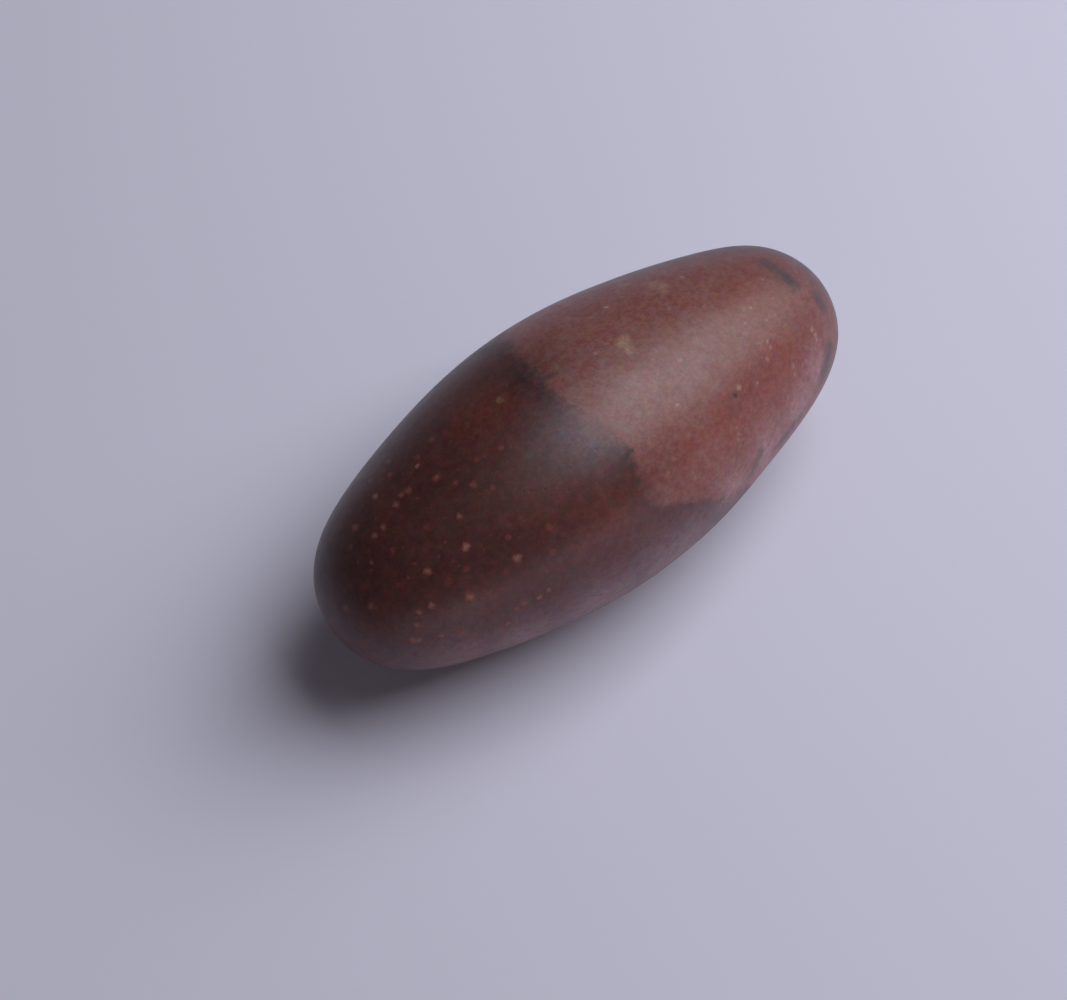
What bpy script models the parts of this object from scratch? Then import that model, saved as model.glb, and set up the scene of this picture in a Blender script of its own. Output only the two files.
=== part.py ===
"""A shiva lingam: one long river-worn stone, lying on its side on a small flat spot.

Metres, +Z up. The stone's long axis lies along X, with its fuller end at -X and
its slimmer end at +X. The origin is on the surface it rests on, under the middle
of the stone.
"""

import math

import bmesh
import bpy
from mathutils import Vector

# Driving sizes, measured over the finished stone
STONE_LENGTH = 0.114
STONE_WIDTH = 0.053
STONE_HEIGHT = 0.050
FOOT_WIDTH = 0.010

# Shape of the outline, as shares of the girth of a true ellipsoid
SHOULDER_SLACK = 0.216
END_FULLNESS = 0.440
SLIMMING = 0.034

# Slow unevenness left by the river, as shares of the girth
THREE_SIDED = 0.006
TWISTED_OVAL = 0.005
SIDEWAYS_BOW = 0.003

# Fineness of the faceted surface
SPOKES = 64
RINGS = 60

STONE_COLOUR = (0.105, 0.048, 0.046, 1.0)
STONE_ROUGHNESS = 0.42


def clear_scene():
    """Removes whatever the scene holds at the start."""
    for old in list(bpy.data.objects):
        bpy.data.objects.remove(old, do_unlink=True)


def fullness(station):
    """Girth at a station, as a share of the ellipsoid's girth there.

    station runs from -1 at the full end to 1 at the slim end. The shoulders fall
    a little inside the ellipsoid, the ends are blunter than it, and the slim
    end's half is the thinner one.
    """
    shoulders = -SHOULDER_SLACK * station**2
    blunt_ends = END_FULLNESS * station**4
    slim_end = -SLIMMING * station * (1 - station**4)
    return 1 + shoulders + blunt_ends + slim_end


def unevenness(station, turn):
    """Share by which the worn surface stands out, at a station and a turn round it."""
    three_sided = THREE_SIDED * math.sin(3 * turn + 1.4 * station + 0.6)
    twisted_oval = TWISTED_OVAL * math.cos(2 * turn - 2.2 * station + 0.4)
    bow = SIDEWAYS_BOW * math.sin(turn + 0.5) * math.cos(3.0 * station)
    return 1 + three_sided + twisted_oval + bow


def worn_point(station, turn):
    """Point on the surface of a stone of unit size, at a station and a turn round its long axis."""
    girth = math.sqrt(1 - station**2) * fullness(station) * unevenness(station, turn)
    return Vector((station, girth * math.cos(turn), girth * math.sin(turn)))


def whole_height():
    """Height before the foot is cut, so that the cut leaves STONE_HEIGHT and a flat FOOT_WIDTH wide."""
    foot_share = FOOT_WIDTH / STONE_WIDTH
    return 2 * STONE_HEIGHT / (1 + math.sqrt(1 - foot_share**2))


def box_of(mesh):
    """Low and high corners of a mesh's box."""
    low = Vector(min(vertex.co[axis] for vertex in mesh.verts) for axis in range(3))
    high = Vector(max(vertex.co[axis] for vertex in mesh.verts) for axis in range(3))
    return low, high


def fit_to_sizes(mesh):
    """Stretches the stone to its driving sizes, centred on the Z axis, its top at STONE_HEIGHT."""
    low, high = box_of(mesh)
    stretch = (
        STONE_LENGTH / (high.x - low.x),
        STONE_WIDTH / (high.y - low.y),
        whole_height() / (high.z - low.z),
    )
    bmesh.ops.scale(mesh, verts=mesh.verts, vec=stretch)
    low, high = box_of(mesh)
    middle = (low + high) / 2
    bmesh.ops.translate(mesh, verts=mesh.verts, vec=(-middle.x, -middle.y, STONE_HEIGHT - high.z))


def cut_foot(mesh):
    """Cuts the underside off level at Z = 0 and closes it with one flat face, its rim sharp."""
    everything = list(mesh.verts) + list(mesh.edges) + list(mesh.faces)
    cut = bmesh.ops.bisect_plane(
        mesh, geom=everything, plane_co=(0, 0, 0), plane_no=(0, 0, -1), clear_outer=True
    )
    rim = [item for item in cut["geom_cut"] if isinstance(item, bmesh.types.BMEdge)]
    foot = bmesh.ops.contextual_create(mesh, geom=rim)["faces"]
    bmesh.ops.recalc_face_normals(mesh, faces=list(mesh.faces))
    for face in mesh.faces:
        face.smooth = face not in foot
    for edge in rim:
        edge.smooth = False


def stone_material():
    """Dull red-brown stone with a satin skin."""
    material = bpy.data.materials.new("satin_red_brown_stone")
    material.use_nodes = True
    shader = material.node_tree.nodes["Principled BSDF"]
    shader.inputs["Base Color"].default_value = STONE_COLOUR
    shader.inputs["Roughness"].default_value = STONE_ROUGHNESS
    shader.inputs["Metallic"].default_value = 0.0
    return material


def add_folded_pair(mesh, corners):
    """Fills four corners with two triangles, their shared edge on the diagonal that stands out."""
    a, b, c, d = corners
    outward = (c.co - a.co).cross(d.co - b.co)
    if (a.co + c.co - b.co - d.co).dot(outward) > 0:
        mesh.faces.new((a, b, c))
        mesh.faces.new((a, c, d))
    else:
        mesh.faces.new((a, b, d))
        mesh.faces.new((b, c, d))


def skin_stone():
    """Rings of points along the stone and one at each end, joined by triangles into a convex skin."""
    mesh = bmesh.new()
    rings = []
    for ring in range(1, RINGS):
        station = -math.cos(math.pi * ring / RINGS)
        turns = [2 * math.pi * spoke / SPOKES for spoke in range(SPOKES)]
        rings.append([mesh.verts.new(worn_point(station, turn)) for turn in turns])
    full_end = mesh.verts.new(worn_point(-1, 0))
    slim_end = mesh.verts.new(worn_point(1, 0))
    for here in range(SPOKES):
        after = (here + 1) % SPOKES
        mesh.faces.new((full_end, rings[0][after], rings[0][here]))
        mesh.faces.new((slim_end, rings[-1][here], rings[-1][after]))
        for near, far in zip(rings, rings[1:]):
            add_folded_pair(mesh, (near[here], near[after], far[after], far[here]))
    return mesh


def make_stone():
    """The whole lingam as one solid."""
    mesh = skin_stone()
    fit_to_sizes(mesh)
    cut_foot(mesh)
    data = bpy.data.meshes.new("lingam_stone")
    mesh.to_mesh(data)
    mesh.free()
    data.materials.append(stone_material())
    stone = bpy.data.objects.new("lingam_stone", data)
    bpy.context.scene.collection.objects.link(stone)
    return stone


def main():
    clear_scene()
    make_stone()


main()
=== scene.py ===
"""A shiva lingam: one long river-worn stone, half dark plum and half brick red, lying on a pale floor.

Metres, +Z up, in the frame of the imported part. Colours are linear.
"""

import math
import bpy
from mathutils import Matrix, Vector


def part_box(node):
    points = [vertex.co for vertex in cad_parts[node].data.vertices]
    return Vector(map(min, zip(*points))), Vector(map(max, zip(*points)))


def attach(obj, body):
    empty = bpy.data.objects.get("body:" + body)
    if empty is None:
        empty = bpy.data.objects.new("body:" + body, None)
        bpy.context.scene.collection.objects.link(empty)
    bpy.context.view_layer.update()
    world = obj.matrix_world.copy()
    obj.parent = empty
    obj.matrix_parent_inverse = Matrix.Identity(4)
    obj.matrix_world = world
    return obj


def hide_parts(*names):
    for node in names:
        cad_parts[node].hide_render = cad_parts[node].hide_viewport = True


bl_info = {
    "name": "Shiva Lingam Stone",
    "version": (1, 0, 0),
    "blender": (4, 5, 0),
    "location": "View3D > Sidebar > Lingam",
    "description": "Makes a satin river-worn lingam stone and the pale stage it lies on",
    "category": "Add Mesh",
}

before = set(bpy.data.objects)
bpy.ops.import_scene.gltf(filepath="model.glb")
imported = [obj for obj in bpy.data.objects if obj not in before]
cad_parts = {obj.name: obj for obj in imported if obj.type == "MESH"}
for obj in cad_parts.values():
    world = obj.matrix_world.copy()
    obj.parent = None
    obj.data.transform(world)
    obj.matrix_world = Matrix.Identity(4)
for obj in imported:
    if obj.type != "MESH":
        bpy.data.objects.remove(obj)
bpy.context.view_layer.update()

import bpy
import numpy as np
from bpy.props import FloatProperty, FloatVectorProperty, IntProperty, PointerProperty
from bpy.types import Operator, Panel, PropertyGroup
from mathutils import Matrix, Vector

MM = 0.001
STONE_LOW, STONE_HIGH = (np.array(corner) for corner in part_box("lingam_stone"))
STONE_SIZE = STONE_HIGH - STONE_LOW
STONE_MIDDLE = (STONE_LOW + STONE_HIGH) / 2

# Width of the small worn flat that the stone rests on
FOOT_WIDTH = 10 * MM

# Shape of the outline, as shares of the girth of a true ellipsoid
SHOULDER_SLACK = 0.216
END_FULLNESS = 0.440
SLIMMING = 0.034

# Slow unevenness left by the river, as shares of the girth
THREE_SIDED = 0.006
TWISTED_OVAL = 0.005
SIDEWAYS_BOW = 0.003

# How far the stone's long axis rises in the picture, towards its slim end
PICTURE_SLANT = math.radians(35.13)

# The picture's width and height in pixels, the lens in pixels, and where the stone's middle falls
PICTURE_WIDTH = 1067
PICTURE_HEIGHT = 1000
LENS_PIXELS = 2453.2
MIDDLE_PIXEL = (582.3, 450.8)
SENSOR_WIDTH_MM = 36.0

# Edge of the brick-red half where it shows: millimetres along the stone and down across it,
# from its middle, as seen in the picture
SEEN_EDGE = (
    (0.3, -25.0), (0.8, -18.0), (1.3, -13.5), (1.8, -10.5), (3.6, -5.5), (5.6, 0.0), (6.8, 4.5),
    (6.2, 9.0), (5.6, 13.5), (6.1, 16.0), (9.2, 18.0), (12.5, 19.8), (16.5, 21.6),
)
# The same edge where it is hidden: degrees of turn round the stone, and station along it
HIDDEN_EDGE = (
    (222, 0.66), (245, 0.80), (280, 0.70), (315, 0.42), (345, 0.16),
)

# Marks, as millimetres along the stone and down across it, radius in millimetres, and strength.
# Pale flecks, tan in the dark half and lighter in the red one
TAN_FLECKS = (
    (-42.2, -12.5, 0.66, 0.55), (-36.0, -15.0, 0.60, 0.70), (-33.8, -11.6, 0.60, 0.60),
    (-31.8, -12.6, 0.50, 0.55), (-30.4, -12.4, 0.68, 0.50), (-38.0, -9.6, 0.60, 0.60),
    (-40.3, -9.2, 0.54, 0.50), (-26.3, -15.1, 0.46, 0.75), (-25.4, -16.4, 0.56, 0.38),
    (-24.6, -11.4, 0.68, 0.52), (-21.5, -17.5, 0.66, 0.42), (-30.3, -19.0, 0.56, 0.40),
    (-31.3, -16.7, 0.56, 0.38), (-43.5, -5.5, 0.50, 0.45), (-48.2, 0.9, 0.66, 0.42),
    (-36.0, 1.8, 0.64, 0.62), (-27.6, 2.2, 0.66, 0.80), (-25.4, -3.0, 0.54, 0.55),
    (-41.5, 7.1, 0.56, 0.55), (-39.0, 7.3, 0.62, 0.62), (-45.4, 10.7, 0.66, 0.55),
    (-44.6, 11.2, 0.56, 0.55), (-43.2, 8.8, 0.48, 0.45), (-32.2, 10.1, 0.78, 0.66),
    (-21.0, 9.2, 0.72, 0.70), (-40.8, 12.9, 0.58, 0.45), (-37.5, 14.0, 0.50, 0.42),
    (-29.4, 18.0, 0.62, 0.58), (-25.0, 16.8, 0.58, 0.48), (-26.6, 16.7, 0.50, 0.48),
    (-21.9, 17.5, 0.56, 0.60), (-19.7, 17.4, 0.56, 0.56), (-12.9, 7.9, 0.66, 0.34),
    (-52.2, -1.4, 0.70, 0.35), (-20.0, -6.4, 0.70, 0.38), (-16.6, -9.8, 0.56, 0.36),
    (-20.2, 5.2, 0.56, 0.36), (-11.9, -8.9, 0.56, 0.34), (-45.0, -10.0, 0.56, 0.30),
    (-39.0, -5.0, 0.50, 0.28), (-22.5, -8.5, 0.50, 0.34), (-30.0, 5.5, 0.56, 0.25),
    (-17.5, -4.0, 0.50, 0.30), (-35.0, -18.0, 0.50, 0.35), (-15.0, 12.0, 0.60, 0.28),
    (-27.8, 20.6, 0.24, 0.60), (-27.3, 21.0, 0.24, 0.60), (-26.8, 21.4, 0.24, 0.50),
    (-26.6, 21.1, 0.20, 0.50), (18.6, -19.0, 0.40, 0.90), (24.2, -3.3, 0.54, 0.62),
    (19.0, 3.3, 0.52, 0.62), (30.2, 7.0, 0.64, 0.62), (12.3, -13.2, 0.56, 0.60),
    (15.0, -13.4, 0.60, 0.45), (10.4, -8.2, 0.90, 0.32), (22.3, -18.8, 0.48, 0.60),
    (33.2, -15.5, 0.55, 0.50), (33.3, -8.6, 0.60, 0.45), (39.1, 3.2, 0.46, 0.60),
    (39.1, 4.3, 0.46, 0.60), (37.6, 2.3, 0.46, 0.50), (40.2, -3.7, 0.50, 0.60),
    (39.1, -4.0, 0.40, 0.50), (37.6, -2.1, 0.44, 0.50), (43.0, -0.2, 0.46, 0.50),
    (41.3, -0.2, 0.44, 0.50), (42.0, 10.3, 0.50, 0.55), (39.8, 11.0, 0.56, 0.55),
    (40.5, 9.5, 0.50, 0.50), (47.1, 6.0, 0.56, 0.65), (46.9, 7.2, 0.46, 0.60),
    (46.7, 8.1, 0.50, 0.60), (46.4, 9.2, 0.46, 0.60), (46.0, 10.7, 0.44, 0.50),
    (33.3, 8.2, 0.46, 0.50), (37.3, 5.8, 0.50, 0.55), (44.9, -6.8, 0.46, 0.55),
    (50.7, -4.2, 0.50, 0.55), (47.0, -6.4, 0.40, 0.50), (49.4, -8.4, 0.40, 0.50),
    (44.5, -2.8, 0.46, 0.50), (13.0, 10.9, 0.60, 0.42), (10.4, 12.4, 0.60, 0.42),
    (21.5, -7.5, 0.80, 0.34), (28.0, -12.0, 0.50, 0.45), (35.5, -11.0, 0.55, 0.40),
    (25.9, 11.8, 0.44, 0.38), (25.5, 12.8, 0.44, 0.40), (25.1, 13.8, 0.44, 0.42),
    (24.7, 14.8, 0.44, 0.42), (24.2, 15.8, 0.44, 0.40), (32.0, 13.6, 0.40, 0.34),
    (31.6, 14.6, 0.40, 0.34), (14.0, 16.0, 0.60, 0.34), (17.8, 8.6, 0.50, 0.34),
)
# Pale olive patches, some of them faint
CREAM_PATCHES = (
    (16.9, -12.3, 1.00, 0.80), (18.1, -12.1, 1.00, 0.80), (17.5, -11.5, 1.10, 0.85),
    (17.5, -10.5, 0.95, 0.85), (17.6, -9.7, 0.65, 0.70), (28.2, -17.2, 1.40, 0.52),
    (29.2, -16.2, 1.30, 0.55), (29.0, -15.2, 0.90, 0.45), (-7.2, -16.5, 0.55, 0.30),
    (-6.8, -16.0, 0.45, 0.24), (36.0, -12.0, 1.20, 0.20), (10.5, 12.4, 1.00, 0.16),
    (23.5, -20.5, 1.00, 0.30),
)
# Grey blotches, round the slim end and along the near side of the red half
GREY_BLOTCHES = (
    (47.2, -8.8, 1.60, 0.65), (47.7, -7.4, 1.60, 0.75), (48.2, -6.0, 1.60, 0.70),
    (48.6, -4.6, 1.80, 0.85), (48.9, -3.2, 1.70, 0.80), (51.3, 2.2, 1.70, 0.75),
    (51.2, 3.5, 1.60, 0.75), (52.3, -1.0, 1.60, 0.50), (52.6, -4.0, 1.60, 0.50),
    (51.0, -8.0, 1.40, 0.40), (48.0, -12.6, 1.40, 0.40), (47.5, 10.6, 1.80, 0.70),
    (46.6, 11.9, 2.20, 0.85), (45.5, 13.0, 2.30, 0.85), (44.2, 13.9, 2.00, 0.75),
    (42.8, 14.8, 1.60, 0.50), (23.0, 21.1, 1.30, 0.50), (24.4, 20.3, 1.40, 0.60),
    (25.7, 19.5, 1.30, 0.65), (26.7, 18.8, 1.00, 0.50), (29.0, 20.1, 1.40, 0.50),
    (30.7, 19.6, 1.50, 0.65), (32.3, 19.1, 1.60, 0.72), (34.0, 18.5, 1.60, 0.72),
    (36.0, 18.0, 1.40, 0.60), (38.5, 17.0, 1.40, 0.50), (-7.9, -5.1, 0.90, 0.60),
    (-7.0, -5.6, 0.50, 0.50), (24.3, -1.8, 0.50, 0.35),
)
# Dark nicks: one alone, a short line at the far side and a hook, both where the halves meet
DARK_NICKS = (
    (28.7, 7.8, 0.50, 0.90), (1.2, -14.9, 0.60, 0.45), (2.0, -14.8, 0.60, 0.50),
    (2.8, -14.6, 0.60, 0.52), (3.5, -14.4, 0.56, 0.45), (4.2, -14.3, 0.50, 0.28),
    (5.2, 6.1, 0.44, 0.80), (5.7, 5.7, 0.44, 0.95), (6.3, 5.3, 0.46, 1.00), (6.9, 5.1, 0.46, 1.00),
    (7.4, 5.2, 0.40, 0.95),
)

# Broad soft clouds of colour, some of them painted sheen as told below: millimetres along and across,
# radius in millimetres, and strength
REDDER_CLOUDS = (
    (-11.0, -16.0, 9.0, 0.85), (-3.0, -14.5, 5.0, 0.60), (-2.0, 11.0, 8.5, 0.80),
    (-10.0, 4.5, 7.0, 0.60), (-24.0, -2.0, 9.0, 0.30),
)
# Greyer clouds: grey patches of the stone in the dark half, and along its near lower rim a painted
# bluish-grey reflection of the floor
GREYER_AND_SHEEN_CLOUDS = (
    (2.8, -3.2, 7.2, 0.85), (2.5, 3.0, 4.5, 0.30), (-38.0, 17.0, 8.0, 0.35), (-28.0, 21.5, 8.0, 0.50),
    (-15.0, 24.0, 8.5, 0.65), (-3.0, 24.5, 8.5, 0.70), (9.0, 24.0, 7.0, 0.70),
    (-46.0, 13.0, 6.0, 0.30),
)
DARKER_CLOUDS = (
    (2.5, -18.0, 5.5, 0.30), (9.0, 13.0, 6.0, 0.25), (-33.0, -1.0, 16.0, 0.15),
    (30.0, 9.0, 6.0, 0.06), (-41.0, 9.0, 6.5, 0.26), (-26.0, 11.0, 6.0, 0.12),
)
# Paler clouds: a painted pinkish-white sheen along the near lower rim of the red half, a painted pale
# bounce along the lower rim of the dark half, and a painted paler tint in the red half's highlight
PALER_AND_SHEEN_CLOUDS = (
    (18.5, 21.5, 4.5, 0.60), (28.0, 19.2, 5.5, 0.70), (37.0, 16.5, 5.2, 0.74),
    (44.0, 12.5, 4.5, 0.62), (15.0, -4.0, 8.0, 0.13), (-11.0, 18.5, 6.0, 0.035),
    (-40.0, 18.0, 7.0, 0.18), (-28.0, 22.0, 7.5, 0.25), (-12.0, 24.5, 8.0, 0.29),
    (3.0, 24.5, 8.0, 0.29),
)
RUSTY_CLOUDS = (
    (16.0, 11.5, 6.0, 0.55), (24.0, 11.0, 6.5, 0.55), (32.0, 9.5, 6.5, 0.55), (39.0, 7.5, 6.5, 0.65),
    (40.5, -6.5, 5.5, 0.70),
)

# Where a grey skin lies over the red half along its upper and far rim, partly a painted bluish-grey rim
# reflection, and where the edge between the halves is soft or banded
SKIN_AND_RIM_SHEEN_CLOUDS = (
    (19.0, -25.0, 6.0, 0.60), (26.0, -23.5, 7.0, 0.80), (33.0, -21.3, 7.0, 0.90),
    (39.5, -18.6, 7.0, 0.95), (45.5, -14.8, 6.5, 0.95), (50.2, -10.5, 6.0, 0.90),
    (53.2, -5.0, 5.5, 0.85), (54.2, 1.0, 4.5, 0.70), (53.0, 7.0, 3.5, 0.60), (50.3, 12.0, 3.5, 0.70),
)
SOFTER_CLOUDS = (
    (0.0, -22.0, 13.0, 1.0), (4.0, -3.0, 9.0, 1.0), (5.5, 12.5, 5.0, 0.8),
)
BANDED_CLOUDS = (
    (-0.5, -25.0, 8.0, 1.0), (0.5, -16.0, 6.5, 1.0), (6.0, 5.5, 3.0, 0.6), (5.0, 15.0, 4.0, 0.5),
)
CLOUDS = {
    "redder": REDDER_CLOUDS,
    "greyer_and_sheen": GREYER_AND_SHEEN_CLOUDS,
    "darker": DARKER_CLOUDS,
    "paler_and_sheen": PALER_AND_SHEEN_CLOUDS,
    "rusty": RUSTY_CLOUDS,
    # The skin clouds are partly a painted bluish-grey rim reflection
    "skin": SKIN_AND_RIM_SHEEN_CLOUDS,
    "softer": SOFTER_CLOUDS,
    "banded": BANDED_CLOUDS,
}

# How sharply the far side's own marks set in where the skin turns away from the camera
FAR_SIDE_SHARPNESS = 4

# How far to either side of the stone's middle a ray is followed, and in how many steps
RAY_DEPTH = 45 * MM
RAY_STEPS = 901

# Turn between the places at which the brick half's edge is worked out, in degrees
EDGE_STEP = 2.0

# Patterns of noise: waves a millimetre, detail, and roughness
PUSH_NOISE = (1.1, 2.0, 0.5)
SLOW_RAG_NOISE = (0.22, 3.0, 0.5)
FINE_RAG_NOISE = (1.1, 4.0, 0.65)
PLUM_NOISE = (0.11, 3.0, 0.5)
BAND_NOISE = (0.5, 3.0, 0.5)
ROSE_NOISE = (0.16, 4.0, 0.6)
UMBER_NOISE = (0.55, 5.0, 0.7)
SKIN_AND_RIM_SHEEN_NOISE = (0.8, 4.0, 0.65)
GRAIN_NOISE = (0.8, 4.0, 0.9)
HUE_NOISE = (0.55, 2.0, 0.5)
WEAR_NOISE = (0.35, 3.0, 0.5)

# Marks of chance: cells a millimetre, share of cells that hold one, radius in millimetres, strength
RUDDY_SPOTS = (0.45, 0.40, 0.90, 0.75)
FAR_FLECKS = (0.30, 0.20, 0.75, 1.0)
SMALL_FLECKS = (0.85, 0.26, 0.32, 1.0)
PITS = (0.9, 0.30, 0.30, 1.0)

# How far noise pushes the marks about and wears the edge between the halves, in millimetres
PUSH_REACH = 1.1
RAG_REACH = 3.2

# Across the edge, in millimetres: where the brick sets in, how many times wider that is where the
# edge is softest, where the charcoal band lies, and the band's strength on the far side
EDGE_SPAN = (-1.1, 1.0)
SOFTEST_EDGE = 2.2
BAND_SPAN = (-6.5, 0.5)
FAR_BAND = 0.6

# The grain: the noise it is made of, and its darkest and brightest share of red and of the others
GRAIN_SPAN = (0.30, 0.70)
RED_GRAIN = (0.82, 1.20)
OTHER_GRAIN = (0.64, 1.40)

# Strength of the mottle of hues and of the tiny flecks, in the dark half and in the brick half
HUE_STRENGTHS = (1.0, 0.7)
SMALL_STRENGTHS = (0.28, 0.42)

# Swing of the roughness, height of the grain where a pit is 1 deep, and the bump of both
ROUGHNESS_SWING = 0.03
GRAIN_HEIGHT = 0.35
BUMP_STRENGTH = 0.5
BUMP_DISTANCE = 0.04 * MM

BLACK = (0.0, 0.0, 0.0, 1.0)

# Wavelengths of the slow swells and radii of the knocks, in millimetres, and the seeds of both
SWELL_WAVES = (9, 11, 14, 17, 21, 26)
DENT_RADII = (0.7, 2.6)
SWELL_SEED = 11
DENT_SEED = 23

# Soft lights: direction from the stone, distance and size in metres, and colour
WINDOW_LIGHT = {
    "direction": (0.564, -0.138, 0.788), "reach": 0.9, "size": (0.90, 0.74), "colour": (0.97, 0.98, 1.0),
}
FRONT_LIGHT = {
    "direction": (-0.05, -1.0, 0.07), "reach": 2.4, "size": (5.40, 0.42), "colour": (1.0, 0.67, 0.69),
}

# Half the floor's width, its roughness, and the slopes between which the surround grows dimmer
FLOOR_HALF_WIDTH = 3.0
FLOOR_ROUGHNESS = 0.8
SURROUND_SPAN = (0.20, 0.70)


class StoneSettings(PropertyGroup):
    """Sizes and colours of the stone's skin."""

    cells_along: IntProperty(
        name="Cells Along", description="Faces along the stone's sides", default=150, min=8)
    cells_across: IntProperty(
        name="Cells Across", description="Faces across each side and each end", default=116, min=8)
    swell: FloatProperty(
        name="Swell", description="Height of the slow swells in the worn skin",
        default=0.05 * MM, unit="LENGTH", precision=5)
    dent_depth: FloatProperty(
        name="Dent Depth", description="Depth of the shallow knocks in the skin",
        default=0.05 * MM, unit="LENGTH", precision=5)
    dent_count: IntProperty(
        name="Dents", description="Number of shallow knocks", default=70, min=0)
    plum: FloatVectorProperty(
        name="Plum", description="Ground colour of the dark half",
        subtype="COLOR", size=3, min=0, max=1, default=(0.059, 0.0156, 0.0150))
    red_brown: FloatVectorProperty(
        name="Red Brown", description="Warmer clouds and ruddy spots in the dark half",
        subtype="COLOR", size=3, min=0, max=1, default=(0.108, 0.0250, 0.0185))
    charcoal: FloatVectorProperty(
        name="Charcoal", description="Band at the edge of the dark half, and dark nicks",
        subtype="COLOR", size=3, min=0, max=1, default=(0.034, 0.0220, 0.0245))
    # Ash colours the grey blotches, and the grey skin along the red half's rim, which is partly a painted
    # bluish-grey rim reflection
    ash: FloatVectorProperty(
        name="Ash", description="Grey blotches, and the grey skin over the red half",
        subtype="COLOR", size=3, min=0, max=1, default=(0.060, 0.044, 0.052))
    # Slate colours the grey patches of the dark half and the painted bluish-grey reflection along its near
    # lower rim
    slate_and_sheen: FloatVectorProperty(
        name="Slate", description="Greyer clouds in the dark half",
        subtype="COLOR", size=3, min=0, max=1, default=(0.120, 0.071, 0.092))
    brick: FloatVectorProperty(
        name="Brick", description="Ground colour of the red half",
        subtype="COLOR", size=3, min=0, max=1, default=(0.211, 0.069, 0.063))
    rose: FloatVectorProperty(
        name="Rose", description="Pinker clouds in the red half",
        subtype="COLOR", size=3, min=0, max=1, default=(0.222, 0.089, 0.085))
    # Pink colours the paler clouds, which are painted sheen and reflection along the near lower rim and in
    # the highlight
    pink_and_sheen: FloatVectorProperty(
        name="Pink", description="Paler clouds",
        subtype="COLOR", size=3, min=0, max=1, default=(0.350, 0.195, 0.215))
    rust: FloatVectorProperty(
        name="Rust", description="Redder clouds in the red half",
        subtype="COLOR", size=3, min=0, max=1, default=(0.205, 0.050, 0.037))
    umber: FloatVectorProperty(
        name="Umber", description="Browner clouds in the red half",
        subtype="COLOR", size=3, min=0, max=1, default=(0.152, 0.058, 0.048))
    tan: FloatVectorProperty(
        name="Tan", description="Small pale flecks in the dark half",
        subtype="COLOR", size=3, min=0, max=1, default=(0.262, 0.130, 0.100))
    speck: FloatVectorProperty(
        name="Speck", description="Small pale flecks in the red half",
        subtype="COLOR", size=3, min=0, max=1, default=(0.38, 0.225, 0.185))
    cream: FloatVectorProperty(
        name="Cream", description="Pale olive patches",
        subtype="COLOR", size=3, min=0, max=1, default=(0.300, 0.165, 0.115))
    roughness: FloatProperty(
        name="Roughness", description="Roughness of the satin skin",
        default=0.43, min=0, max=1, subtype="FACTOR")


class StageSettings(PropertyGroup):
    """Camera, light and floor."""

    azimuth: FloatProperty(
        name="Azimuth", description="Direction the camera looks from, round the stone",
        default=math.radians(-39.28), subtype="ANGLE")
    elevation: FloatProperty(
        name="Elevation", description="Height of the camera above the floor's plane, as an angle",
        default=math.radians(60), subtype="ANGLE")
    distance: FloatProperty(
        name="Distance", description="From the camera to the stone's middle",
        default=0.45, unit="LENGTH")
    floor_colour: FloatVectorProperty(
        name="Floor", description="Colour of the floor",
        subtype="COLOR", size=3, min=0, max=1, default=(0.74, 0.73, 0.89))
    sky_colour: FloatVectorProperty(
        name="Surround", description="Colour of the soft light from all round",
        subtype="COLOR", size=3, min=0, max=1, default=(0.90, 0.89, 0.96))
    sky_strength: FloatProperty(
        name="Surround Strength", description="Strength of the soft light from low down all round",
        default=0.14, min=0)
    overhead_strength: FloatProperty(
        name="Overhead Strength", description="Strength of the soft light from overhead",
        default=0.04, min=0)
    key_power: FloatProperty(
        name="Window Light", description="Power of the large soft light, in watts",
        default=7.4, min=0, unit="POWER")
    front_power: FloatProperty(
        name="Front Light", description="Power of the low soft light in front, in watts",
        default=19.5, min=0, unit="POWER")


def fullness(station):
    """Girth at a station from -1 to 1, as a share of an ellipsoid's girth there.

    One, less the shoulders' slack times the station squared, plus the ends' fullness times its
    fourth power, less a slimming that grows towards the slim end and dies out at both tips.
    """
    shoulders = -SHOULDER_SLACK * station**2
    blunt_ends = END_FULLNESS * station**4
    slim_end = -SLIMMING * station * (1 - station**4)
    return 1 + shoulders + blunt_ends + slim_end


def unevenness(station, turn):
    """Share by which the worn skin stands out: three slow waves of the turn round the stone."""
    three_sided = THREE_SIDED * np.sin(3 * turn + 1.4 * station + 0.6)
    twisted_oval = TWISTED_OVAL * np.cos(2 * turn - 2.2 * station + 0.4)
    bow = SIDEWAYS_BOW * np.sin(turn + 0.5) * np.cos(3.0 * station)
    return 1 + three_sided + twisted_oval + bow


def unit_girth(station, turn):
    """Distance of the skin from the long axis, on a stone of unit size."""
    inside = np.clip(1 - station**2, 0, 1)
    return np.sqrt(inside) * fullness(station) * unevenness(station, turn)


def whole_size():
    """The stone's size before its foot is cut off level: the cut leaves a flat FOOT_WIDTH wide."""
    foot_share = FOOT_WIDTH / STONE_SIZE[1]
    whole_height = 2 * STONE_SIZE[2] / (1 + math.sqrt(1 - foot_share**2))
    return np.array([STONE_SIZE[0], STONE_SIZE[1], whole_height])


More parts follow.
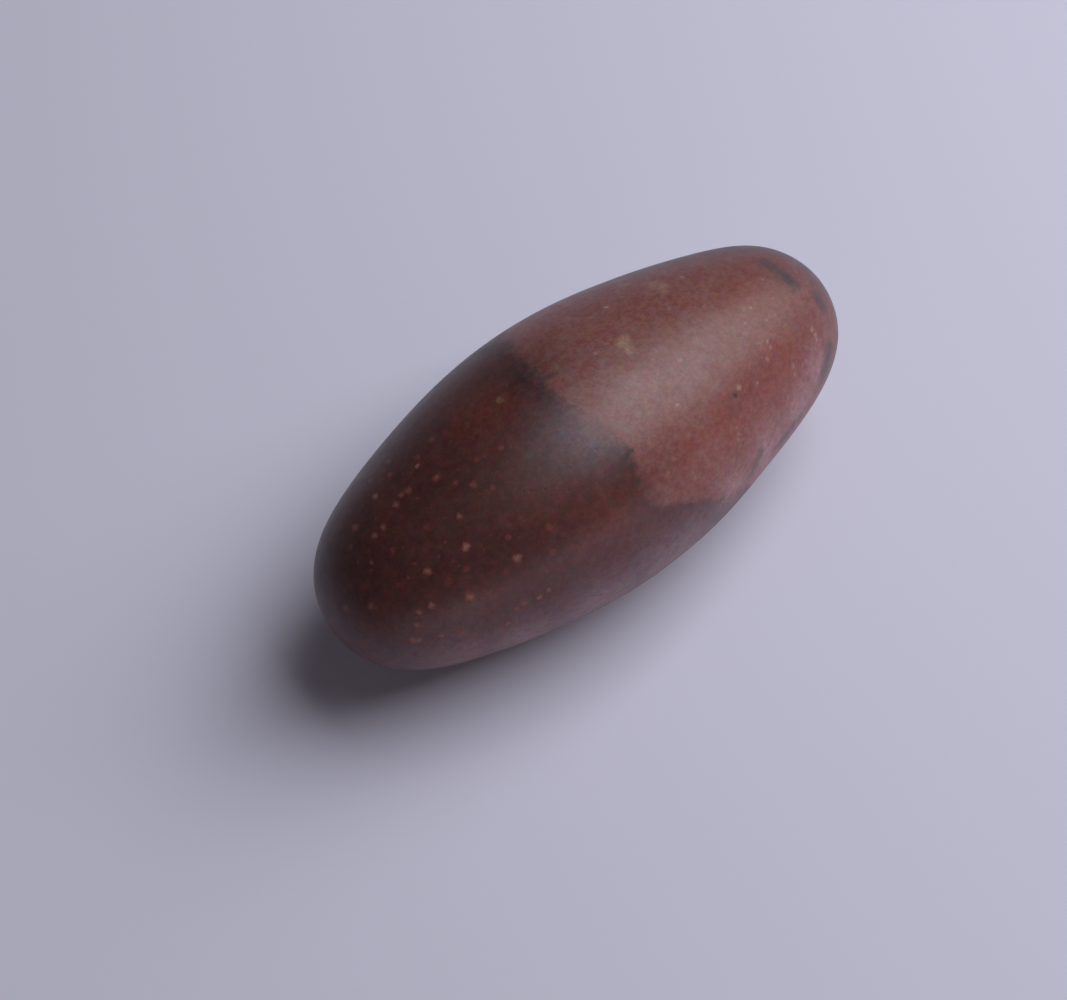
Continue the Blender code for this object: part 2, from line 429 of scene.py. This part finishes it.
def unit_fit():
    """Scale and shift that carry the unit stone to its real size, its top at the part's top.

    The unit stone's box is measured on a fine grid of stations and turns.
    """
    station, turn = np.meshgrid(np.linspace(-1, 1, 401), np.linspace(0, 2 * math.pi, 721))
    girth = unit_girth(station, turn)
    points = np.stack([station, girth * np.cos(turn), girth * np.sin(turn)], axis=-1)
    low = points.min(axis=(0, 1))
    high = points.max(axis=(0, 1))
    scale = whole_size() / (high - low)
    middle = (low + high) / 2
    shift = np.array([STONE_MIDDLE[0], STONE_MIDDLE[1], 0.0]) - middle * scale
    shift[2] = STONE_HIGH[2] - high[2] * scale[2]
    return scale, shift


UNIT_SCALE, UNIT_SHIFT = unit_fit()


def skin_points(directions):
    """Points of the skin: each unit direction's x is its station, its y and z give its turn.

    The point lies at that station, out from the long axis by the girth there in that turn.
    """
    station = directions[:, 0]
    turn = np.arctan2(directions[:, 2], directions[:, 1])
    girth = unit_girth(station, turn)
    unit = np.stack([station, girth * np.cos(turn), girth * np.sin(turn)], axis=-1)
    return unit * UNIT_SCALE + UNIT_SHIFT


def station_and_turn(points):
    """Station and turn of points on or near the skin."""
    unit = (points - UNIT_SHIFT) / UNIT_SCALE
    return unit[..., 0], np.arctan2(unit[..., 2], unit[..., 1])


def picture_axes():
    """Right, up and back of the picture, as unit vectors in the stone's frame."""
    stage = bpy.context.scene.lingam_stage
    azimuth = stage.azimuth
    elevation = stage.elevation
    back = np.array([
        math.sin(azimuth) * math.cos(elevation),
        -math.cos(azimuth) * math.cos(elevation),
        math.sin(elevation),
    ])
    right = np.array([math.cos(azimuth), math.sin(azimuth), 0.0])
    return right, np.cross(back, right), back


def points_seen_at(places):
    """Points of the skin that show at places given in millimetres along and down across the stone.

    Each place lies on the plane through the stone's middle that faces the camera. A ray runs from
    the camera through it, and the point is where the ray first comes inside the skin, or where it
    comes nearest to it.
    """
    places = np.asarray(places, dtype=float) * MM
    right, up, back = picture_axes()
    slant_cos = math.cos(PICTURE_SLANT)
    slant_sin = math.sin(PICTURE_SLANT)
    along = slant_cos * right + slant_sin * up
    down = slant_sin * right - slant_cos * up
    distance = bpy.context.scene.lingam_stage.distance
    camera = STONE_MIDDLE + back * distance
    targets = STONE_MIDDLE + places[:, :1] * along + places[:, 1:2] * down
    rays = targets - camera
    rays /= np.linalg.norm(rays, axis=1, keepdims=True)
    reach = np.linspace(distance - RAY_DEPTH, distance + RAY_DEPTH, RAY_STEPS)
    path = camera + rays[:, None, :] * reach[None, :, None]
    station, turn = station_and_turn(path)
    unit = (path - UNIT_SHIFT) / UNIT_SCALE
    outside = np.hypot(unit[..., 1], unit[..., 2]) - unit_girth(station, turn)
    outside = np.where(np.abs(station) < 1, outside, 1.0)
    first_inside = np.argmax(outside < 0, axis=1)
    nearest = np.argmin(outside, axis=1)
    chosen = np.where((outside < 0).any(axis=1), first_inside, nearest)
    return path[np.arange(len(path)), chosen]


def box_lattice(cells_along, cells_across):
    """Welded skin of a box of cells: unit directions of its corners, and its outward quads.

    Each corner's place along an edge goes through a tangent, so that the directions are evenly
    spread, and the corner is then drawn in to the unit sphere.
    """
    cells = np.array([cells_along, cells_across, cells_across])
    steps = np.indices(cells + 1)
    on_skin = np.zeros(cells + 1, dtype=bool)
    for axis in range(3):
        on_skin |= (steps[axis] == 0) | (steps[axis] == cells[axis])
    number = np.full(cells + 1, -1)
    number[on_skin] = np.arange(on_skin.sum())
    spread = [np.tan(math.pi / 4 * (2 * steps[axis][on_skin] / cells[axis] - 1)) for axis in range(3)]
    directions = np.stack(spread, axis=-1)
    directions /= np.linalg.norm(directions, axis=1, keepdims=True)
    quads = []
    for axis in range(3):
        for side in (0, -1):
            sheet = np.moveaxis(number, axis, 0)[side]
            corners = (sheet[:-1, :-1], sheet[1:, :-1], sheet[1:, 1:], sheet[:-1, 1:])
            faces = np.stack(corners, axis=-1).reshape(-1, 4)
            turned_out = (side == -1) == (axis != 1)
            quads.append(faces if turned_out else faces[:, ::-1])
    return directions, np.concatenate(quads)


def slow_swell(points, height):
    """Height of slow swells: a sum of plane waves in fixed directions, the longest the highest."""
    chance = np.random.default_rng(SWELL_SEED)
    total = np.zeros(len(points))
    for wavelength in SWELL_WAVES:
        heading = chance.normal(size=3)
        heading /= np.linalg.norm(heading)
        phase = chance.uniform(0, 2 * math.pi)
        share = wavelength / max(SWELL_WAVES)
        total += share * np.sin(points @ heading * 2 * math.pi / (wavelength * MM) + phase)
    return height * total / 2


def shallow_dents(points, count, depth):
    """Depth of old knocks: round bells of random place and size, each sunk into the skin."""
    chance = np.random.default_rng(DENT_SEED)
    total = np.zeros(len(points))
    centres = points[chance.integers(0, len(points), count)]
    radii = chance.uniform(*DENT_RADII, count) * MM
    depths = depth * chance.uniform(0.3, 1.0, count)
    for centre, radius, sunk in zip(centres, radii, depths):
        gap = np.linalg.norm(points - centre, axis=1) / radius
        total -= sunk * np.exp(-gap**2)
    return total


def soft_clouds(points, clouds):
    """Strength of broad soft clouds of colour: the strongest of the bells around their middles."""
    strongest = np.zeros(len(points))
    centres = points_seen_at([cloud[:2] for cloud in clouds])
    for centre, (_, _, radius, strength) in zip(centres, clouds):
        gap = np.linalg.norm(points - centre, axis=1) / (radius * MM)
        strongest = np.maximum(strongest, strength * np.exp(-gap**2))
    return strongest


def edge_station(turn_degrees):
    """Station of the brick half's edge at each turn: its seen and hidden places, joined round."""
    station, turn = station_and_turn(points_seen_at(SEEN_EDGE))
    turns = list(np.degrees(turn) % 360) + [place[0] for place in HIDDEN_EDGE]
    stations = list(station) + [place[1] for place in HIDDEN_EDGE]
    return np.interp(turn_degrees, turns, stations, period=360)


def brick_gap(points):
    """Millimetres from the brick half's edge, more than 0 inside it.

    The gap along the stone, shortened where the edge runs slantwise round it.
    """
    fine = np.arange(0, 360, EDGE_STEP)
    edge = edge_station(fine)
    edge = (np.roll(edge, 1) + 2 * edge + np.roll(edge, -1)) / 4
    half_length = STONE_SIZE[0] / 2 / MM
    girth = unit_girth(edge, np.radians(fine)) * STONE_SIZE[1] / 2 / MM
    rise = (np.roll(edge, -1) - np.roll(edge, 1)) * half_length
    run = np.radians(2 * EDGE_STEP) * girth
    lean = run / np.hypot(run, rise)
    station, turn = station_and_turn(points)
    degrees = np.degrees(turn) % 360
    gap = (station - np.interp(degrees, fine, edge, period=360)) * half_length
    return gap * np.interp(degrees, fine, lean, period=360)


def vertex_normals(points, quads):
    """Unit normals of the points: the sum of the cross products of the diagonals around each."""
    across = np.cross(points[quads[:, 2]] - points[quads[:, 0]], points[quads[:, 3]] - points[quads[:, 1]])
    normals = np.zeros_like(points)
    for corner in range(4):
        np.add.at(normals, quads[:, corner], across)
    return normals / np.linalg.norm(normals, axis=1, keepdims=True)


def make_mesh(name, points, quads):
    """A mesh object at the origin from whole arrays of points and quads, shaded smooth."""
    mesh = bpy.data.meshes.new(name)
    mesh.vertices.add(len(points))
    mesh.vertices.foreach_set("co", points.astype(np.float32).ravel())
    mesh.loops.add(quads.size)
    mesh.loops.foreach_set("vertex_index", quads.astype(np.int32).ravel())
    mesh.polygons.add(len(quads))
    mesh.polygons.foreach_set("loop_start", np.arange(0, quads.size, 4, dtype=np.int32))
    mesh.update(calc_edges=True)
    mesh.validate()
    mesh.shade_smooth()
    piece = bpy.data.objects.new(name, mesh)
    bpy.context.scene.collection.objects.link(piece)
    return piece


def keep_value(piece, name, values):
    """Stores one number for each point, for the material to read."""
    kept = piece.data.attributes.new(name, "FLOAT", "POINT")
    kept.data.foreach_set("value", np.asarray(values, dtype=np.float32))


def wire(tree, kind, inputs=(), output=0, **settings):
    """Adds a node, feeds its inputs with sockets or plain values, and returns one of its outputs."""
    added = tree.nodes.new(kind)
    for name, value in settings.items():
        setattr(added, name, value)
    for key, value in dict(inputs).items():
        if isinstance(value, bpy.types.NodeSocket):
            tree.links.new(value, added.inputs[key])
        else:
            added.inputs[key].default_value = value
    return added.outputs[output]


def sums(tree, operation, first, second, third=0.0):
    """One sum of two or three numbers."""
    inputs = {0: first, 1: second, 2: third}
    return wire(tree, "ShaderNodeMath", inputs, operation=operation)


def ease(tree, value, start, end, low=0.0, high=1.0):
    """Eases from low to high as the value goes from start to end."""
    inputs = {"Value": value, "From Min": start, "From Max": end, "To Min": low, "To Max": high}
    return wire(tree, "ShaderNodeMapRange", inputs, interpolation_type="SMOOTHSTEP")


def noise(tree, place, pattern, output=0):
    """Soft noise from 0 to 1, in one of the patterns at the top; output 1 is three such numbers."""
    scale, detail, roughness = pattern
    inputs = {"Vector": place, "Scale": scale, "Detail": detail, "Roughness": roughness}
    return wire(tree, "ShaderNodeTexNoise", inputs, output=output)


def centred_noise(tree, place, pattern, reach):
    """Three numbers of soft noise, each less a half and then times the reach."""
    three = noise(tree, place, pattern, output=1)
    centred = wire(tree, "ShaderNodeVectorMath", {0: three, 1: (0.5, 0.5, 0.5)}, operation="SUBTRACT")
    return wire(tree, "ShaderNodeVectorMath", {0: centred, "Scale": reach}, operation="SCALE")


def tint(tree, share, under, over, blend="MIX"):
    """Lays one colour over another by a share from 0 to 1."""
    inputs = {0: share, 6: under, 7: over}
    return wire(tree, "ShaderNodeMix", inputs, output=2, data_type="RGBA", blend_type=blend)


def round_mark_group():
    """A node group that lays one round mark over those before it and keeps the stronger."""
    group = bpy.data.node_groups.new("round_mark", "ShaderNodeTree")
    for name, kind in (
        ("Before", "NodeSocketFloat"), ("Place", "NodeSocketVector"), ("Middle", "NodeSocketVector"),
        ("Radius", "NodeSocketFloat"), ("Strength", "NodeSocketFloat"),
    ):
        group.interface.new_socket(name, in_out="INPUT", socket_type=kind)
    group.interface.new_socket("After", in_out="OUTPUT", socket_type="NodeSocketFloat")
    given = group.nodes.new("NodeGroupInput").outputs
    inputs = {0: given["Place"], 1: given["Middle"]}
    gap = wire(group, "ShaderNodeVectorMath", inputs, output=1, operation="DISTANCE")
    share = sums(group, "DIVIDE", gap, given["Radius"])
    mask = ease(group, share, 1.7, 0.2)
    stronger = sums(group, "MAXIMUM", sums(group, "MULTIPLY", mask, given["Strength"]), given["Before"])
    result = group.nodes.new("NodeGroupOutput")
    group.links.new(stronger, result.inputs["After"])
    return group


def round_marks(tree, group, place, marks):
    """Mask of round marks, each given as in the lists at the top."""
    mask = 0.0
    middles = points_seen_at([mark[:2] for mark in marks]) / MM
    for middle, (_, _, radius, strength) in zip(middles, marks):
        added = tree.nodes.new("ShaderNodeGroup")
        added.node_tree = group
        added.inputs["Middle"].default_value = middle
        added.inputs["Radius"].default_value = radius
        added.inputs["Strength"].default_value = strength
        tree.links.new(place, added.inputs["Place"])
        if mask:
            tree.links.new(mask, added.inputs["Before"])
        mask = added.outputs["After"]
    return mask


def chance_marks(tree, place, cells, share, radius, strongest):
    """Mask of round marks of chance, in a share of random cells, of many sizes and strengths."""
    inputs = {"Vector": place, "Scale": cells, "Randomness": 1.0}
    gap = wire(tree, "ShaderNodeTexVoronoi", inputs)
    draw = wire(tree, "ShaderNodeSeparateColor", {0: gap.node.outputs["Color"]}).node.outputs
    chosen = sums(tree, "LESS_THAN", draw[0], share)
    size = ease(tree, draw[1], 0.0, 1.0, 0.45 * radius * cells, radius * cells)
    mask = ease(tree, sums(tree, "DIVIDE", gap, size), 1.35, 0.45)
    strength = ease(tree, draw[2], 0.0, 1.0, 0.3 * strongest, strongest)
    return sums(tree, "MULTIPLY", sums(tree, "MULTIPLY", mask, chosen), strength)


def kept_value(tree, name):
    """A number kept on the mesh, for each point."""
    return wire(tree, "ShaderNodeAttribute", output=2, attribute_name=name)


def chosen_colour(look, name):
    """One of the settings' colours, opaque."""
    return (*getattr(look, name), 1.0)


def skin_places(tree):
    """Place on the skin in millimetres, and the same place pushed about a little by noise.

    Most marks read the pushed place, so that they are not quite round.
    """
    coords = wire(tree, "ShaderNodeTexCoord", output=3)
    place = wire(tree, "ShaderNodeVectorMath", {0: coords, "Scale": 1 / MM}, operation="SCALE")
    push = centred_noise(tree, place, PUSH_NOISE, PUSH_REACH)
    pushed = wire(tree, "ShaderNodeVectorMath", {0: place, 1: push}, operation="ADD")
    return place, pushed


def ragged_edge(tree, place):
    """Gap from the brick half's edge, worn ragged by noise, and the share of brick at the place.

    The gap is the kept one plus a slow and a fine noise. The share eases from 0 to 1 across the
    edge, over a wider band where the edge is soft.
    """
    ragged = kept_value(tree, "brick_gap")
    for pattern in (SLOW_RAG_NOISE, FINE_RAG_NOISE):
        rag = sums(tree, "MULTIPLY_ADD", noise(tree, place, pattern), RAG_REACH, -RAG_REACH / 2)
        ragged = sums(tree, "ADD", ragged, rag)
    softness = ease(tree, kept_value(tree, "softer"), 0.0, 1.0, 1.0, SOFTEST_EDGE)
    in_brick = ease(tree, sums(tree, "DIVIDE", ragged, softness), *EDGE_SPAN)
    return ragged, in_brick


def dark_ground(tree, look, place, ragged):
    """The dark half: a plum ground, redder clouds, a broken charcoal band at the edge, and grey clouds,
    which along the near lower rim are a painted bluish-grey reflection.
    """
    clouds = ease(tree, noise(tree, place, PLUM_NOISE), 0.35, 0.70, 0.0, 0.35)
    redder = sums(tree, "MAXIMUM", clouds, kept_value(tree, "redder"))
    ground = tint(tree, redder, chosen_colour(look, "plum"), chosen_colour(look, "red_brown"))
    far_band = sums(tree, "MULTIPLY", kept_value(tree, "far_side"), FAR_BAND)
    banded = sums(tree, "MAXIMUM", kept_value(tree, "banded"), far_band)
    broken = ease(tree, noise(tree, place, BAND_NOISE), 0.2, 0.75, 0.5, 1.0)
    band = sums(tree, "MULTIPLY", ease(tree, ragged, *BAND_SPAN), broken)
    ground = tint(tree, sums(tree, "MULTIPLY", band, banded), ground, chosen_colour(look, "charcoal"))
    # Grey clouds in slate; along the near lower rim they are a painted bluish-grey reflection
    return tint(tree, kept_value(tree, "greyer_and_sheen"), ground, chosen_colour(look, "slate_and_sheen"))


def brick_ground(tree, look, place, pushed):
    """The brick half: a brick ground with rose, umber and rust clouds, and a broken grey skin along the
    rim that is partly a painted bluish-grey rim reflection.
    """
    rosy = ease(tree, noise(tree, place, ROSE_NOISE), 0.38, 0.66)
    ground = tint(tree, rosy, chosen_colour(look, "brick"), chosen_colour(look, "rose"))
    browner = ease(tree, noise(tree, pushed, UMBER_NOISE), 0.38, 0.78)
    ground = tint(tree, browner, ground, chosen_colour(look, "umber"))
    ground = tint(tree, kept_value(tree, "rusty"), ground, chosen_colour(look, "rust"))
    # The grey skin along the rim is partly a painted bluish-grey rim reflection
    broken = ease(tree, noise(tree, place, SKIN_AND_RIM_SHEEN_NOISE), 0.3, 0.6, 0.5, 1.3)
    skin = sums(tree, "MULTIPLY", kept_value(tree, "skin"), broken)
    return tint(tree, skin, ground, chosen_colour(look, "ash"))


def pale_flecks(tree, group, pushed, in_brick):
    """Mask of the pale flecks: those listed, some larger ones on the far side, and many tiny ones."""
    listed = round_marks(tree, group, pushed, TAN_FLECKS)
    far = sums(tree, "MULTIPLY", chance_marks(tree, pushed, *FAR_FLECKS), kept_value(tree, "far_side"))
    small_strength = ease(tree, in_brick, 0.0, 1.0, *SMALL_STRENGTHS)
    small = sums(tree, "MULTIPLY", chance_marks(tree, pushed, *SMALL_FLECKS), small_strength)
    return sums(tree, "MAXIMUM", listed, sums(tree, "MAXIMUM", far, small))


def with_marks(tree, look, place, pushed, in_brick, ground):
    """Lays blotches, nicks, patches, ruddy spots and pale flecks over the ground, in that order.

    Flecks in the dark half have a red-brown halo. Gives back the ground and the flecks' mask.
    """
    group = round_mark_group()
    for marks, where, name in (
        (GREY_BLOTCHES, pushed, "ash"), (DARK_NICKS, place, "charcoal"), (CREAM_PATCHES, pushed, "cream"),
    ):
        ground = tint(tree, round_marks(tree, group, where, marks), ground, chosen_colour(look, name))
    in_dark = sums(tree, "SUBTRACT", 1.0, in_brick)
    ruddy = sums(tree, "MULTIPLY", chance_marks(tree, pushed, *RUDDY_SPOTS), in_dark)
    ground = tint(tree, ruddy, ground, chosen_colour(look, "red_brown"))
    fleck = pale_flecks(tree, group, pushed, in_brick)
    halo = sums(tree, "MULTIPLY", ease(tree, fleck, 0.0, 0.22, 0.0, 0.90), in_dark)
    ground = tint(tree, halo, ground, chosen_colour(look, "red_brown"))
    pale = tint(tree, in_brick, chosen_colour(look, "tan"), chosen_colour(look, "speck"))
    return tint(tree, ease(tree, fleck, 0.10, 1.0, 0.0, 0.85), ground, pale), fleck


def with_grain(tree, place, grain, in_brick, fleck, ground):
    """Multiplies the ground by a grain, stronger in green and blue than in red, and a mottle of hues.

    The mottle is weaker on the pale flecks.
    """
    red_grain = ease(tree, grain, *GRAIN_SPAN, *RED_GRAIN)
    other_grain = ease(tree, grain, *GRAIN_SPAN, *OTHER_GRAIN)
    shares = {0: red_grain, 1: other_grain, 2: other_grain}
    ground = tint(tree, 1.0, ground, wire(tree, "ShaderNodeCombineColor", shares), "MULTIPLY")
    hue_strength = ease(tree, in_brick, 0.0, 1.0, *HUE_STRENGTHS)
    hue_strength = sums(tree, "MULTIPLY", hue_strength, ease(tree, fleck, 0.0, 0.5, 1.0, 0.3))
    hues = centred_noise(tree, place, HUE_NOISE, hue_strength)
    hues = wire(tree, "ShaderNodeVectorMath", {0: hues, 1: (1.0, 1.0, 1.0)}, operation="ADD")
    return tint(tree, 1.0, ground, hues, "MULTIPLY")


def set_satin(tree, shader, look, place, grain):
    """Roughness that wanders a little, a very fine bump of grain and pits, and a trace of sheen."""
    rough_low = look.roughness - ROUGHNESS_SWING
    rough_high = look.roughness + ROUGHNESS_SWING
    rough = ease(tree, noise(tree, place, WEAR_NOISE), 0.3, 0.7, rough_low, rough_high)
    tree.links.new(rough, shader.inputs["Roughness"])
    pits = chance_marks(tree, place, *PITS)
    height = sums(tree, "SUBTRACT", sums(tree, "MULTIPLY", grain, GRAIN_HEIGHT), pits)
    inputs = {"Strength": BUMP_STRENGTH, "Distance": BUMP_DISTANCE, "Height": height}
    tree.links.new(wire(tree, "ShaderNodeBump", inputs), shader.inputs["Normal"])
    shader.inputs["Specular IOR Level"].default_value = 0.5
    shader.inputs["Sheen Weight"].default_value = 0.05
    shader.inputs["Sheen Roughness"].default_value = 0.5
    shader.inputs["Sheen Tint"].default_value = (1.0, 0.90, 0.93, 1.0)
    shader.inputs["Metallic"].default_value = 0.0


def stone_material(look):
    """Satin stone: a plum half and a brick half that meet in a ragged edge, with marks and grain."""
    material = bpy.data.materials.new("satin_river_stone")
    material.use_nodes = True
    tree = material.node_tree
    shader = tree.nodes["Principled BSDF"]
    place, pushed = skin_places(tree)
    ragged, in_brick = ragged_edge(tree, place)
    dark = dark_ground(tree, look, place, ragged)
    brick = brick_ground(tree, look, place, pushed)
    ground = tint(tree, in_brick, dark, brick)
    ground = tint(tree, kept_value(tree, "darker"), ground, BLACK)
    # Paler clouds: painted pinkish sheen and reflection along the near lower rim, and a painted paler tint
    # in the highlight
    ground = tint(tree, kept_value(tree, "paler_and_sheen"), ground, chosen_colour(look, "pink_and_sheen"))
    ground, fleck = with_marks(tree, look, place, pushed, in_brick, ground)
    grain = noise(tree, place, GRAIN_NOISE)
    ground = with_grain(tree, place, grain, in_brick, fleck, ground)
    tree.links.new(ground, shader.inputs["Base Color"])
    set_satin(tree, shader, look, place, grain)
    return material


class LINGAM_OT_stone(Operator):
    """Make the stone from its formula, with its worn skin and its colours"""

    bl_idname = "lingam.make_stone"
    bl_label = "Make Stone"

    def execute(self, context):
        look = context.scene.lingam_stone
        directions, quads = box_lattice(look.cells_along, look.cells_across)
        points = skin_points(directions)
        relief = slow_swell(points, look.swell)
        relief += shallow_dents(points, look.dent_count, look.dent_depth)
        normals = vertex_normals(points, quads)
        worn = np.clip(points + normals * relief[:, None], STONE_LOW, STONE_HIGH)
        stone = make_mesh("worn_stone", worn, quads)
        keep_value(stone, "brick_gap", brick_gap(points))
        for name, clouds in CLOUDS.items():
            keep_value(stone, name, soft_clouds(points, clouds))
        _, _, back = picture_axes()
        keep_value(stone, "far_side", np.clip(-FAR_SIDE_SHARPNESS * (normals @ back), 0, 1))
        stone.data.materials.append(stone_material(look))
        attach(stone, "root")
        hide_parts("lingam_stone")
        return {"FINISHED"}


def plain_material(name, colour, roughness):
    """A matt material of one colour."""
    material = bpy.data.materials.new(name)
    material.use_nodes = True
    shader = material.node_tree.nodes["Principled BSDF"]
    shader.inputs["Base Color"].default_value = (*colour, 1.0)
    shader.inputs["Roughness"].default_value = roughness
    return material


def add_floor(stage):
    """A wide pale floor at the height the stone rests on."""
    half = FLOOR_HALF_WIDTH
    level = float(STONE_LOW[2])
    corners = [(-half, -half, level), (half, -half, level), (half, half, level), (-half, half, level)]
    mesh = bpy.data.meshes.new("floor")
    mesh.from_pydata(corners, [], [(0, 1, 2, 3)])
    floor = bpy.data.objects.new("floor", mesh)
    floor.data.materials.append(plain_material("pale_floor", stage.floor_colour, FLOOR_ROUGHNESS))
    bpy.context.scene.collection.objects.link(floor)


def add_soft_light(name, power, direction, reach, size, colour):
    """A soft rectangular light that faces the stone's middle, its width along the stone's length.

    Above the stone or beyond an end, its width lies in the upright plane of the long axis. In front
    or behind, it lies along the axis, made square to the light's facing.
    """
    direction = Vector(direction).normalized()
    across = Vector((0, 1, 0)).cross(direction) if abs(direction.y) < 0.5 else Vector((1, 0, 0))
    across = (across - across.project(direction)).normalized()
    data = bpy.data.lights.new(name, "AREA")
    data.shape = "RECTANGLE"
    data.size, data.size_y = size
    data.energy = power
    data.color = colour
    light = bpy.data.objects.new(name, data)
    facing = Matrix((across, direction.cross(across), direction)).transposed().to_4x4()
    light.matrix_world = Matrix.Translation(Vector(STONE_MIDDLE.tolist()) + direction * reach) @ facing
    bpy.context.scene.collection.objects.link(light)


def add_surround(stage):
    """Soft light from all round: pale low down, and dimmer overhead."""
    world = bpy.data.worlds.new("soft_surround")
    world.use_nodes = True
    tree = world.node_tree
    heading = wire(tree, "ShaderNodeTexCoord")
    height = wire(tree, "ShaderNodeSeparateXYZ", {0: heading}, output=2)
    strength = ease(tree, height, *SURROUND_SPAN, stage.sky_strength, stage.overhead_strength)
    background = tree.nodes["Background"]
    background.inputs["Color"].default_value = (*stage.sky_colour, 1.0)
    tree.links.new(strength, background.inputs["Strength"])
    bpy.context.scene.world = world


def add_camera(stage):
    """The picture's camera: it looks past the stone's middle so that the middle falls on its pixel."""
    right, up, back = picture_axes()
    data = bpy.data.cameras.new("camera")
    data.sensor_fit = "HORIZONTAL"
    data.sensor_width = SENSOR_WIDTH_MM
    data.lens = SENSOR_WIDTH_MM * LENS_PIXELS / PICTURE_WIDTH
    data.clip_start = 0.01
    to_left = math.atan((MIDDLE_PIXEL[0] - PICTURE_WIDTH / 2) / LENS_PIXELS)
    downward = math.atan((PICTURE_HEIGHT / 2 - MIDDLE_PIXEL[1]) / LENS_PIXELS)
    facing = Matrix((right, up, back)).transposed()
    aim = facing @ Matrix.Rotation(to_left, 3, "Y") @ Matrix.Rotation(-downward, 3, "X")
    camera = bpy.data.objects.new("camera", data)
    place = STONE_MIDDLE + back * stage.distance
    camera.matrix_world = Matrix.Translation(place.tolist()) @ aim.to_4x4()
    bpy.context.scene.collection.objects.link(camera)
    bpy.context.scene.camera = camera


class LINGAM_OT_stage(Operator):
    """Set the pale floor, the soft lights and the camera"""

    bl_idname = "lingam.set_stage"
    bl_label = "Set Stage"

    def execute(self, context):
        stage = context.scene.lingam_stage
        add_floor(stage)
        add_surround(stage)
        add_soft_light("window_light", stage.key_power, **WINDOW_LIGHT)
        add_soft_light("front_light", stage.front_power, **FRONT_LIGHT)
        add_camera(stage)
        context.scene.view_settings.view_transform = "Standard"
        return {"FINISHED"}


class LINGAM_PT_panel(Panel):
    """Buttons and settings for the stone and its stage"""

    bl_idname = "LINGAM_PT_panel"
    bl_label = "Shiva Lingam"
    bl_space_type = "VIEW_3D"
    bl_region_type = "UI"
    bl_category = "Lingam"

    def draw(self, context):
        for settings, operator in (
            (context.scene.lingam_stone, LINGAM_OT_stone),
            (context.scene.lingam_stage, LINGAM_OT_stage),
        ):
            box = self.layout.box()
            for name in settings.__annotations__:
                box.prop(settings, name)
            box.operator(operator.bl_idname)


CLASSES = (StoneSettings, StageSettings, LINGAM_OT_stone, LINGAM_OT_stage, LINGAM_PT_panel)


def register():
    for each in CLASSES:
        bpy.utils.register_class(each)
    bpy.types.Scene.lingam_stone = PointerProperty(type=StoneSettings)
    bpy.types.Scene.lingam_stage = PointerProperty(type=StageSettings)


def unregister():
    del bpy.types.Scene.lingam_stage
    del bpy.types.Scene.lingam_stone
    for each in reversed(CLASSES):
        bpy.utils.unregister_class(each)


def main():
    register()
    bpy.ops.lingam.make_stone()
    bpy.ops.lingam.set_stage()


if __name__ == "__main__":
    main()
